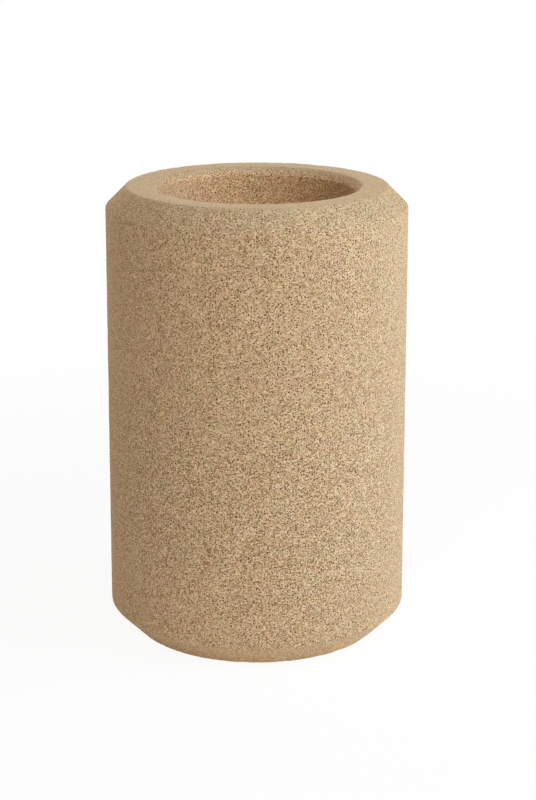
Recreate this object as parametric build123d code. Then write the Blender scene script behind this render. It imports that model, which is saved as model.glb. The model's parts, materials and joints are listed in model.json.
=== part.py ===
from build123d import *
import math
import os

# Filter drier core: one moulded block of bonded desiccant grains. It is a
# thick open tube with a bevel, a flat seating ring and a flared bore mouth at
# each end. Its side narrows slightly towards the top, where it leaves the
# mould. Sizes are in millimetres. The tube stands on its wider end, its axis
# is Z, and the origin is on that axis at the level of the lower ring.

# Overall sizes
outer_diameter = 94.0  # just above the lower bevel, where the block is widest
core_length = 142.0
bore_diameter = 60.0
side_draft = 0.19  # degrees off the axis

# Bevels and flares of the ends, all at 45 degrees and measured across the axis
lower_bevel = 8.1
upper_bevel = 6.4
flare_width = 2.4

# Rounding that the mould leaves on each edge of an end
shoulder_rounding = 1.5  # side wall to bevel
rim_rounding = 1.0  # bevel to seating ring
mouth_rounding = 1.5  # seating ring to flare
throat_rounding = 1.0  # flare to bore wall


def section_outline():
    """Outline of the tube's wall on one side of the axis, from the lower throat round to the upper one."""
    side_height = core_length - lower_bevel - upper_bevel
    lower_radius = outer_diameter / 2
    upper_radius = lower_radius - side_height * math.tan(math.radians(side_draft))
    bore_radius = bore_diameter / 2
    mouth_radius = bore_radius + flare_width

    lower_end = [
        (bore_radius, flare_width),
        (mouth_radius, 0),
        (lower_radius - lower_bevel, 0),
        (lower_radius, lower_bevel),
    ]
    upper_end = [
        (upper_radius, core_length - upper_bevel),
        (upper_radius - upper_bevel, core_length),
        (mouth_radius, core_length),
        (bore_radius, core_length - flare_width),
    ]

    lower_rounding = [throat_rounding, mouth_rounding, rim_rounding, shoulder_rounding]
    upper_rounding = list(reversed(lower_rounding))

    return FilletPolyline(lower_end + upper_end, radius=lower_rounding + upper_rounding, close=True)


# The block, turned from its wall's section
with BuildPart() as core:
    with BuildSketch(Plane.XZ):
        with BuildLine():
            section_outline()
        make_face()
    revolve(axis=Axis.Z)

os.makedirs("parts", exist_ok=True)
export_step(core.part, "parts/core.step")
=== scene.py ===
import json
import math

import bpy
import numpy as np
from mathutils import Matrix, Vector, noise


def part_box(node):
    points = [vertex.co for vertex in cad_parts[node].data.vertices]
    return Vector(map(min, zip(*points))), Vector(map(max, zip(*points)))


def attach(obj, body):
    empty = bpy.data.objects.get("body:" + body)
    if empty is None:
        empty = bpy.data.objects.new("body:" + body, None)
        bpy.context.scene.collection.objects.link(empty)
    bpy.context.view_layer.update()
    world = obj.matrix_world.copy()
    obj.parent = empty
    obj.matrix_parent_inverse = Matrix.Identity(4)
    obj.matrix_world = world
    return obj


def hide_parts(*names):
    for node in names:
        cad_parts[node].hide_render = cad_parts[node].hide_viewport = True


# A filter drier core: one moulded tube of bonded desiccant grains. Lengths are
# in metres, in the frame's own axes, with the tube standing on the floor at z 0.
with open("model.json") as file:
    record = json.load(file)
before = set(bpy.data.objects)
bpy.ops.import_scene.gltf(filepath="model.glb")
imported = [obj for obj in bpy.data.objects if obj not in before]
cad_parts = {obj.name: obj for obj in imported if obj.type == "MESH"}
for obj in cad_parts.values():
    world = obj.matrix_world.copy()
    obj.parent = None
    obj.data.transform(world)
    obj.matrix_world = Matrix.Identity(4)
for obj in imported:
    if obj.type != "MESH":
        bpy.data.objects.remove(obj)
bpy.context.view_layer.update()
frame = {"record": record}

MM = 0.001
WHITE = (1, 1, 1, 1)

# Sizes of the block, from the frame where it states them
core_low, core_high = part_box("core")
bore_mount = next(mount for mount in frame["record"]["mounts"] if mount["name"] == "bore")
LENGTH = core_high.z - core_low.z
LOWER_RADIUS = core_high.x
BORE_RADIUS = bore_mount["dims"]["r_mm"] * MM
SIDE_DRAFT = math.radians(0.19)
LOWER_BEVEL = 8.1 * MM
UPPER_BEVEL = 6.4 * MM
FLARE = 2.4 * MM
SHOULDER_ROUNDING = 1.5 * MM
RIM_ROUNDING = 1.0 * MM
MOUTH_ROUNDING = 1.5 * MM
THROAT_ROUNDING = 1.0 * MM

# How finely the surface is divided
ARC_STEPS = 3
OUTER_STEP = 0.85 * MM
BORE_STEP = 2.4 * MM
AROUND = 348

# Unevenness of the moulded surface, always below its nominal place
LEAST_LOSS = 0.03 * MM
SWELL_SIZE = 6.0 * MM
SWELL_DEPTH = 0.08 * MM
CRUMB_SIZE = 1.7 * MM
CRUMB_DEPTH = 0.07 * MM
EDGE_CRUMB_DEPTH = 0.24 * MM
EDGE_REACH = 1.6 * MM
CRUMB_OFFSET = Vector((7.1, 3.3, 5.7))

# The flat rings are smoother than the rest
RING_SMOOTHING = 0.7
RING_SHARPNESS = 4


def section_corners():
    """Radius, height and rounding of each corner of the wall, from the lower throat to the upper one."""
    side_height = LENGTH - LOWER_BEVEL - UPPER_BEVEL
    upper_radius = LOWER_RADIUS - side_height * math.tan(SIDE_DRAFT)
    mouth_radius = BORE_RADIUS + FLARE
    return [
        (BORE_RADIUS, FLARE, THROAT_ROUNDING),
        (mouth_radius, 0.0, MOUTH_ROUNDING),
        (LOWER_RADIUS - LOWER_BEVEL, 0.0, RIM_ROUNDING),
        (LOWER_RADIUS, LOWER_BEVEL, SHOULDER_ROUNDING),
        (upper_radius, LENGTH - UPPER_BEVEL, SHOULDER_ROUNDING),
        (upper_radius - UPPER_BEVEL, LENGTH, RIM_ROUNDING),
        (mouth_radius, LENGTH, MOUTH_ROUNDING),
        (BORE_RADIUS, LENGTH - FLARE, THROAT_ROUNDING),
    ]


def rounded_corner(before, corner, after, rounding):
    """Points on the arc that rounds one corner of the section."""
    to_before = (before - corner) / np.linalg.norm(before - corner)
    to_after = (after - corner) / np.linalg.norm(after - corner)
    half_angle = math.acos(to_before @ to_after) / 2
    bisector = (to_before + to_after) / np.linalg.norm(to_before + to_after)
    centre = corner + bisector * rounding / math.sin(half_angle)
    first = corner + to_before * rounding / math.tan(half_angle) - centre
    last = corner + to_after * rounding / math.tan(half_angle) - centre
    turn = math.atan2(first[0] * last[1] - first[1] * last[0], first @ last)
    points = []
    for step in range(ARC_STEPS + 1):
        angle = turn * step / ARC_STEPS
        cosine, sine = math.cos(angle), math.sin(angle)
        spoke = np.array([first[0] * cosine - first[1] * sine, first[0] * sine + first[1] * cosine])
        points.append(centre + spoke)
    return points


def section_points():
    """The closed section as rows of (radius, height), denser where it shows."""
    corners = section_corners()
    count = len(corners)
    arcs = []
    for i, (radius, height, rounding) in enumerate(corners):
        before = np.array(corners[i - 1][:2])
        after = np.array(corners[(i + 1) % count][:2])
        arcs.append(rounded_corner(before, np.array([radius, height]), after, rounding))
    rows = []
    for i, arc in enumerate(arcs):
        rows.extend(arc)
        run_start, run_end = arc[-1], arcs[(i + 1) % count][0]
        step = BORE_STEP if i == count - 1 else OUTER_STEP
        pieces = max(1, round(np.linalg.norm(run_end - run_start) / step))
        rows.extend(run_start + (run_end - run_start) * k / pieces for k in range(1, pieces))
    return np.array(rows)


def outward_directions(rows):
    """Direction out of the wall at each point of the section."""
    along = np.roll(rows, -1, axis=0) - np.roll(rows, 1, axis=0)
    normals = np.stack([along[:, 1], -along[:, 0]], axis=1)
    return normals / np.linalg.norm(normals, axis=1)[:, None]


def surface_loss(place, edge_share, moulded_share):
    """How far the surface lies below its nominal place, from slow swells and lost grains."""
    swell = (1 + noise.noise(place / SWELL_SIZE)) / 2
    crumb = max(0.0, noise.noise(place / CRUMB_SIZE + CRUMB_OFFSET))
    crumb_depth = CRUMB_DEPTH + (EDGE_CRUMB_DEPTH - CRUMB_DEPTH) * edge_share
    return LEAST_LOSS + (SWELL_DEPTH * swell + crumb_depth * crumb) * moulded_share


def worn_vertices(rows):
    """The section turned round the axis, with its surface worn slightly below its nominal place."""
    normals = outward_directions(rows)
    corner_places = np.array([corner[:2] for corner in section_corners()])
    corner_distances = np.linalg.norm(rows[:, None] - corner_places[None], axis=2).min(axis=1)
    edge_shares = np.clip(1 - corner_distances / EDGE_REACH, 0, 1)
    flatness = np.abs(normals[:, 1]) ** RING_SHARPNESS
    moulded_shares = 1 - RING_SMOOTHING * flatness * (1 - edge_shares)

    vertices = []
    for row, (radius, height) in enumerate(rows):
        for k in range(AROUND):
            angle = 2 * math.pi * k / AROUND
            cosine, sine = math.cos(angle), math.sin(angle)
            place = Vector((radius * cosine, radius * sine, height))
            loss = surface_loss(place, edge_shares[row], moulded_shares[row])
            worn_radius = radius - normals[row, 0] * loss
            worn_height = height - normals[row, 1] * loss
            vertices.append((worn_radius * cosine, worn_radius * sine, worn_height))
    return vertices


def make_block():
    """The turned tube as one closed mesh."""
    rows = section_points()
    faces = []
    for row in range(len(rows)):
        this_row = row * AROUND
        next_row = (row + 1) % len(rows) * AROUND
        for k in range(AROUND):
            next_k = (k + 1) % AROUND
            faces.append((this_row + k, this_row + next_k, next_row + next_k, next_row + k))

    mesh = bpy.data.meshes.new("desiccant_block")
    mesh.from_pydata(worn_vertices(rows), [], faces)
    mesh.shade_smooth()
    block = bpy.data.objects.new("desiccant_block", mesh)
    bpy.context.scene.collection.objects.link(block)
    return block


class Nodes:
    """Short calls that add nodes to one material or world and join them."""

    # Places of the colour sockets on a mix node
    MIX_FACTOR = 0
    MIX_FIRST = 6
    MIX_SECOND = 7
    MIX_RESULT = 2

    def __init__(self, owner):
        owner.use_nodes = True
        self.tree = owner.node_tree
        self.tree.nodes.clear()

    def add(self, kind, **settings):
        node = self.tree.nodes.new(kind)
        for name, value in settings.items():
            setattr(node, name, value)
        return node

    def feed(self, socket, value):
        """Give a socket a value, or join it to another node's output."""
        if isinstance(value, bpy.types.NodeSocket):
            self.tree.links.new(value, socket)
        else:
            socket.default_value = value

    def math(self, operation, *values, clamp=False):
        node = self.add("ShaderNodeMath", operation=operation, use_clamp=clamp)
        for socket, value in zip(node.inputs, values):
            self.feed(socket, value)
        return node.outputs[0]

    def blend(self, share, start, end):
        """Even change from start to end while the share goes from 0 to 1."""
        return self.math("MULTIPLY_ADD", share, end - start, start)

    def step(self, value, low, high, start=0.0, end=1.0):
        """Smooth change from start to end while the value goes from low to high."""
        node = self.add("ShaderNodeMapRange", interpolation_type="SMOOTHSTEP")
        for socket, number in zip(node.inputs, (value, low, high, start, end)):
            self.feed(socket, number)
        return node.outputs[0]

    def voronoi(self, place, size):
        """Cells of one size: distance to the nearest cell's point in cell sizes, and a draw per cell."""
        node = self.add("ShaderNodeTexVoronoi")
        self.feed(node.inputs["Vector"], place)
        self.feed(node.inputs["Scale"], 1 / size)
        draw = self.add("ShaderNodeSeparateColor")
        self.feed(draw.inputs[0], node.outputs["Color"])
        return node.outputs["Distance"], draw.outputs[0]

    def noise(self, place, size):
        """A soft random colour, each part of which varies on its own about one half."""
        node = self.add("ShaderNodeTexNoise")
        self.feed(node.inputs["Vector"], place)
        self.feed(node.inputs["Scale"], 1 / size)
        return node.outputs["Color"]

    def multiply_colour(self, share, first, second):
        """The first colour, multiplied by the second one where the share is 1."""
        node = self.add("ShaderNodeMix", data_type="RGBA", blend_type="MULTIPLY")
        self.feed(node.inputs[self.MIX_FACTOR], share)
        self.feed(node.inputs[self.MIX_FIRST], first)
        self.feed(node.inputs[self.MIX_SECOND], second)
        return node.outputs[self.MIX_RESULT]

    def seen_share(self):
        """1 for rays from the camera, straight or by a shine or through glass, and 0 for other light."""
        path = self.add("ShaderNodeLightPath")
        straight_or_shine = self.math("ADD", path.outputs["Is Camera Ray"], path.outputs["Is Glossy Ray"])
        return self.math("ADD", straight_or_shine, path.outputs["Is Transmission Ray"], clamp=True)


# Grains and pores. A tone of 0 is a pore's bottom, whose dark colour is painted shade in the hollow, one
# half a plain grain, 1 the palest grain.
MIDDLE_TONE = 0.5
GRIT_SIZE = 0.30 * MM
GRIT_CONTRAST = 0.76
PORE_SPACING = 0.78 * MM
PORE_LEAST_RADIUS = 0.10 * MM
PORE_MOST_RADIUS = 0.37 * MM
PORE_BOTTOM_SHARE = 0.5
PORE_SHADE_TONE = 0.95
RIM_TONE = 0.15
RIM_REACH = 2.0
BUMP_DEPTH = 0.14 * MM
GRIT_BUMP_SHARE = 0.5
# Painted shade at the bottom of the pore hollows
PORE_SHADE_COLOUR = (0.131, 0.058, 0.011, 1)
GRAIN_COLOUR = (0.490, 0.34, 0.181, 1)
PALE_GRAIN_COLOUR = (0.810, 0.63, 0.428, 1)

# Slow change of hue and brightness from place to place
MOTTLE_SIZE = 4.0 * MM
MOTTLE_SHARE = 0.18

# Skin of fine dust that the mould leaves on the flat seating rings
SKIN_DEPTH = 0.55 * MM
SKIN_FADE = 1.1 * MM
SKIN_EDGE_SIZE = 2.5 * MM
SKIN_UNEVENNESS = 1.8 * MM
SKIN_TONE = 0.51
SKIN_CONTRAST = 0.5
SKIN_TINT = (0.97, 1.01, 1.02, 1)

# The block is packed less tightly a little below its middle than at its ends, so its pores show more there
LOOSEST_HEIGHT = 50 * MM
LOOSE_REACH = 12 * MM
LOOSE_END = 42 * MM
LOOSE_CONTRAST = 1.24

# Browner tint of the bore's wall, which is painted warm light bounced about inside the bore
BORE_BOUNCE_LIGHT_TINT = (1.10, 1.0, 0.92, 1)

# Matt surface, with the soft shine that dusty grains have at a low angle
ROUGHNESS = 0.9
SPECULAR_LEVEL = 0.2
SHEEN_WEIGHT = 0.6
SHEEN_ROUGHNESS = 0.5
SHEEN_TINT = (1.0, 0.72, 0.45, 1)


def height_of(n, place):
    """Height of a place above the floor."""
    apart = n.add("ShaderNodeSeparateXYZ")
    n.feed(apart.inputs[0], place)
    return apart.outputs["Z"]


def skin_share(n, place):
    """1 on the two flat seating rings and 0 away from them, with an uneven edge."""
    from_middle = n.math("ABSOLUTE", n.math("SUBTRACT", height_of(n, place), LENGTH / 2))
    unevenness = n.math("SUBTRACT", n.noise(place, SKIN_EDGE_SIZE), 0.5)
    reach = n.math("MULTIPLY_ADD", unevenness, SKIN_UNEVENNESS, from_middle)
    skin_start = LENGTH / 2 - SKIN_DEPTH
    return n.step(reach, skin_start - SKIN_FADE, skin_start)


def loose_contrast(n, place):
    """More than 1 where the block is packed loosely, and 1 towards both ends."""
    from_loosest = n.math("ABSOLUTE", n.math("SUBTRACT", height_of(n, place), LOOSEST_HEIGHT))
    return n.step(from_loosest, LOOSE_REACH, LOOSE_END, LOOSE_CONTRAST, 1.0)


def bore_share(n, place):
    """1 on the bore's wall, and 0 outside the flared mouths."""
    across = n.add("ShaderNodeVectorMath", operation="MULTIPLY")
    n.feed(across.inputs[0], place)
    n.feed(across.inputs[1], (1, 1, 0))
    radius = n.add("ShaderNodeVectorMath", operation="LENGTH")
    n.feed(radius.inputs[0], across.outputs[0])
    return n.step(radius.outputs["Value"], BORE_RADIUS, BORE_RADIUS + FLARE, 1.0, 0.0)


def make_grain_material():
    """Bonded grains with open pores between them, whose darkness is painted shade, and a smoother skin on
    the seating rings.
    """
    material = bpy.data.materials.new("bonded_grains")
    n = Nodes(material)
    place = n.add("ShaderNodeTexCoord").outputs["Object"]
    skin = skin_share(n, place)
    contrast = n.math("MULTIPLY", n.blend(skin, 1.0, SKIN_CONTRAST), loose_contrast(n, place))

    grit_distance, grit_draw = n.voronoi(place, GRIT_SIZE)
    pore_distance, pore_draw = n.voronoi(place, PORE_SPACING)
    pore_radius = n.blend(pore_draw, PORE_LEAST_RADIUS / PORE_SPACING, PORE_MOST_RADIUS / PORE_SPACING)
    pore_bottom = n.math("MULTIPLY", pore_radius, PORE_BOTTOM_SHARE)
    rim_end = n.math("MULTIPLY", pore_radius, RIM_REACH)
    pore = n.step(pore_distance, pore_bottom, pore_radius, 1.0, 0.0)
    rim = n.step(pore_distance, pore_radius, rim_end, 1.0, 0.0)

    tone = n.math("MULTIPLY", n.math("SUBTRACT", grit_draw, 0.5), GRIT_CONTRAST)
    tone = n.math("ADD", tone, n.math("MULTIPLY", rim, RIM_TONE))
    # Painted shade: the tone drops to its darkest in the pores' hollows
    tone = n.math("SUBTRACT", tone, n.math("MULTIPLY", pore, PORE_SHADE_TONE + RIM_TONE))
    tone = n.math("MULTIPLY_ADD", tone, contrast, n.blend(skin, MIDDLE_TONE, SKIN_TONE))

    ramp = n.add("ShaderNodeValToRGB")
    first, last = ramp.color_ramp.elements
    first.color = PORE_SHADE_COLOUR
    last.color = PALE_GRAIN_COLOUR
    ramp.color_ramp.elements.new(MIDDLE_TONE).color = GRAIN_COLOUR
    n.feed(ramp.inputs[0], tone)
    colour = n.multiply_colour(MOTTLE_SHARE, ramp.outputs[0], n.noise(place, MOTTLE_SIZE))
    colour = n.multiply_colour(skin, colour, SKIN_TINT)
    # Painted warm bounce light on the bore's wall
    colour = n.multiply_colour(bore_share(n, place), colour, BORE_BOUNCE_LIGHT_TINT)

    height = n.math("MULTIPLY_ADD", grit_distance, -GRIT_BUMP_SHARE, GRIT_BUMP_SHARE)
    height = n.math("MULTIPLY", n.math("SUBTRACT", height, pore), contrast)
    bump = n.add("ShaderNodeBump")
    n.feed(bump.inputs["Distance"], BUMP_DEPTH)
    n.feed(bump.inputs["Height"], height)

    shader = n.add("ShaderNodeBsdfPrincipled")
    n.feed(shader.inputs["Base Color"], colour)
    n.feed(shader.inputs["Roughness"], ROUGHNESS)
    n.feed(shader.inputs["Specular IOR Level"], SPECULAR_LEVEL)
    n.feed(shader.inputs["Sheen Weight"], SHEEN_WEIGHT)
    n.feed(shader.inputs["Sheen Roughness"], SHEEN_ROUGHNESS)
    n.feed(shader.inputs["Sheen Tint"], SHEEN_TINT)
    n.feed(shader.inputs["Normal"], bump.outputs[0])
    output = n.add("ShaderNodeOutputMaterial")
    n.feed(output.inputs["Surface"], shader.outputs[0])
    return material


# Camera: where it stands and looks, found from the outline of the block in the photograph
CAMERA_DISTANCE = 647.5 * MM
CAMERA_ELEVATION = math.radians(16.36)
CAMERA_PITCH = math.radians(16.19)
FRAME_LONG_SIDE_PX = 800
SENSOR_WIDTH_MM = 36.0
FOCAL_LENGTH_PX = 2047.0
FRAME_CENTRE_X_PX = 268.0
OBJECT_CENTRE_X_PX = 256.9
CLIP_START = 0.01
CLIP_END = 50.0


def make_camera():
    data = bpy.data.cameras.new("camera")
    data.sensor_width = SENSOR_WIDTH_MM
    data.lens = FOCAL_LENGTH_PX * SENSOR_WIDTH_MM / FRAME_LONG_SIDE_PX
    data.shift_x = (FRAME_CENTRE_X_PX - OBJECT_CENTRE_X_PX) / FRAME_LONG_SIDE_PX
    data.clip_start = CLIP_START
    data.clip_end = CLIP_END
    camera = bpy.data.objects.new("camera", data)
    bpy.context.scene.collection.objects.link(camera)
    camera.location = (
        0.0,
        -CAMERA_DISTANCE * math.cos(CAMERA_ELEVATION),
        LENGTH / 2 + CAMERA_DISTANCE * math.sin(CAMERA_ELEVATION),
    )
    camera.rotation_euler = (math.pi / 2 - CAMERA_PITCH, 0.0, 0.0)
    bpy.context.scene.camera = camera


# Lamps: all square and soft, each as wide for its distance as the others
COOL = (0.88, 1.0, 1.14)
WARM = (1.16, 0.99, 0.85)
LAMP_SIZE_SHARE = 2 / 3
FAR = 2.4
NEAR = 0.6

# Name, azimuth from the camera's side towards its right, elevation, distance, power in watts, colour
LAMPS = [
    ("front_lamp", 0, 30, FAR, 25.0, WARM),
    ("front_right_lamp", 35, 35, FAR, 20.0, COOL),
    ("high_right_lamp", 75, 45, NEAR, 1.8, COOL),
    ("low_right_lamp", 100, 20, NEAR, 1.03, COOL),
    ("back_left_lamp", -150, 30, FAR, 9.0, WARM),
]


def make_lamp(name, azimuth, elevation, distance, power, colour):
    """A soft lamp aimed at the middle of the block. The angles are in degrees."""
    data = bpy.data.lights.new(name, "AREA")
    data.shape = "SQUARE"
    data.size = distance * LAMP_SIZE_SHARE
    data.energy = power
    data.color = colour
    lamp = bpy.data.objects.new(name, data)
    bpy.context.scene.collection.objects.link(lamp)
    a, e = math.radians(azimuth), math.radians(elevation)
    direction = Vector((math.sin(a) * math.cos(e), -math.cos(a) * math.cos(e), math.sin(e)))
    middle = Vector((0, 0, LENGTH / 2))
    lamp.location = middle + direction * distance
    lamp.rotation_euler = direction.to_track_quat("Z", "Y").to_euler()
    lamp.visible_camera = False


def make_world():
    """Plain white surroundings that are only seen, and give no light to matt surfaces."""
    world = bpy.data.worlds.new("studio")
    n = Nodes(world)
    surroundings = n.add("ShaderNodeBackground")
    n.feed(surroundings.inputs["Color"], WHITE)
    n.feed(surroundings.inputs["Strength"], n.seen_share())
    output = n.add("ShaderNodeOutputWorld")
    n.feed(output.inputs["Surface"], surroundings.outputs[0])
    bpy.context.scene.world = world


# Floor: how it is lit, and how white it is seen. Its seen part is least near the block, where its
# shadow falls, and grows to plain white between the two distances from the axis.
FLOOR_HALF_WIDTH = 6.0
FLOOR_COLOUR = (0.92, 0.90, 0.86, 1)
FLOOR_GLOW = 0.08
SHADOW_REACH = 0.16
SHADOW_END = 0.40
LEAST_SEEN_WHITE = 0.92


def make_floor():
    """A pale floor with a faint warm glow, which is seen as white apart from the block's faint shadow."""
    half = FLOOR_HALF_WIDTH
    corners = [(-half, -half, 0), (half, -half, 0), (half, half, 0), (-half, half, 0)]
    mesh = bpy.data.meshes.new("floor")
    mesh.from_pydata(corners, [], [(0, 1, 2, 3)])
    floor = bpy.data.objects.new("floor", mesh)
    bpy.context.scene.collection.objects.link(floor)

    material = bpy.data.materials.new("white_floor")
    n = Nodes(material)
    paint = n.add("ShaderNodeBsdfDiffuse")
    n.feed(paint.inputs["Color"], FLOOR_COLOUR)
    glow = n.add("ShaderNodeEmission")
    n.feed(glow.inputs["Color"], (*WARM, 1))
    n.feed(glow.inputs["Strength"], FLOOR_GLOW)
    lit_floor = n.add("ShaderNodeAddShader")
    n.feed(lit_floor.inputs[0], paint.outputs[0])
    n.feed(lit_floor.inputs[1], glow.outputs[0])

    plain_white = n.add("ShaderNodeEmission")
    n.feed(plain_white.inputs["Color"], WHITE)
    n.feed(plain_white.inputs["Strength"], 1.0)
    radius = n.add("ShaderNodeVectorMath", operation="LENGTH")
    n.feed(radius.inputs[0], n.add("ShaderNodeTexCoord").outputs["Object"])
    white_share = n.step(radius.outputs["Value"], SHADOW_REACH, SHADOW_END, LEAST_SEEN_WHITE, 1.0)
    mix = n.add("ShaderNodeMixShader")
    n.feed(mix.inputs[0], n.math("MULTIPLY", white_share, n.seen_share()))
    n.feed(mix.inputs[1], lit_floor.outputs[0])
    n.feed(mix.inputs[2], plain_white.outputs[0])
    output = n.add("ShaderNodeOutputMaterial")
    n.feed(output.inputs["Surface"], mix.outputs[0])
    mesh.materials.append(material)


block = make_block()
block.data.materials.append(make_grain_material())
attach(block, "root")
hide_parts("core")

make_camera()
for lamp_values in LAMPS:
    make_lamp(*lamp_values)
make_world()
make_floor()
bpy.context.scene.view_settings.view_transform = "Standard"

# The denoiser would smooth the grain away with its prefilter
bpy.context.scene.cycles.denoising_prefilter = "NONE"
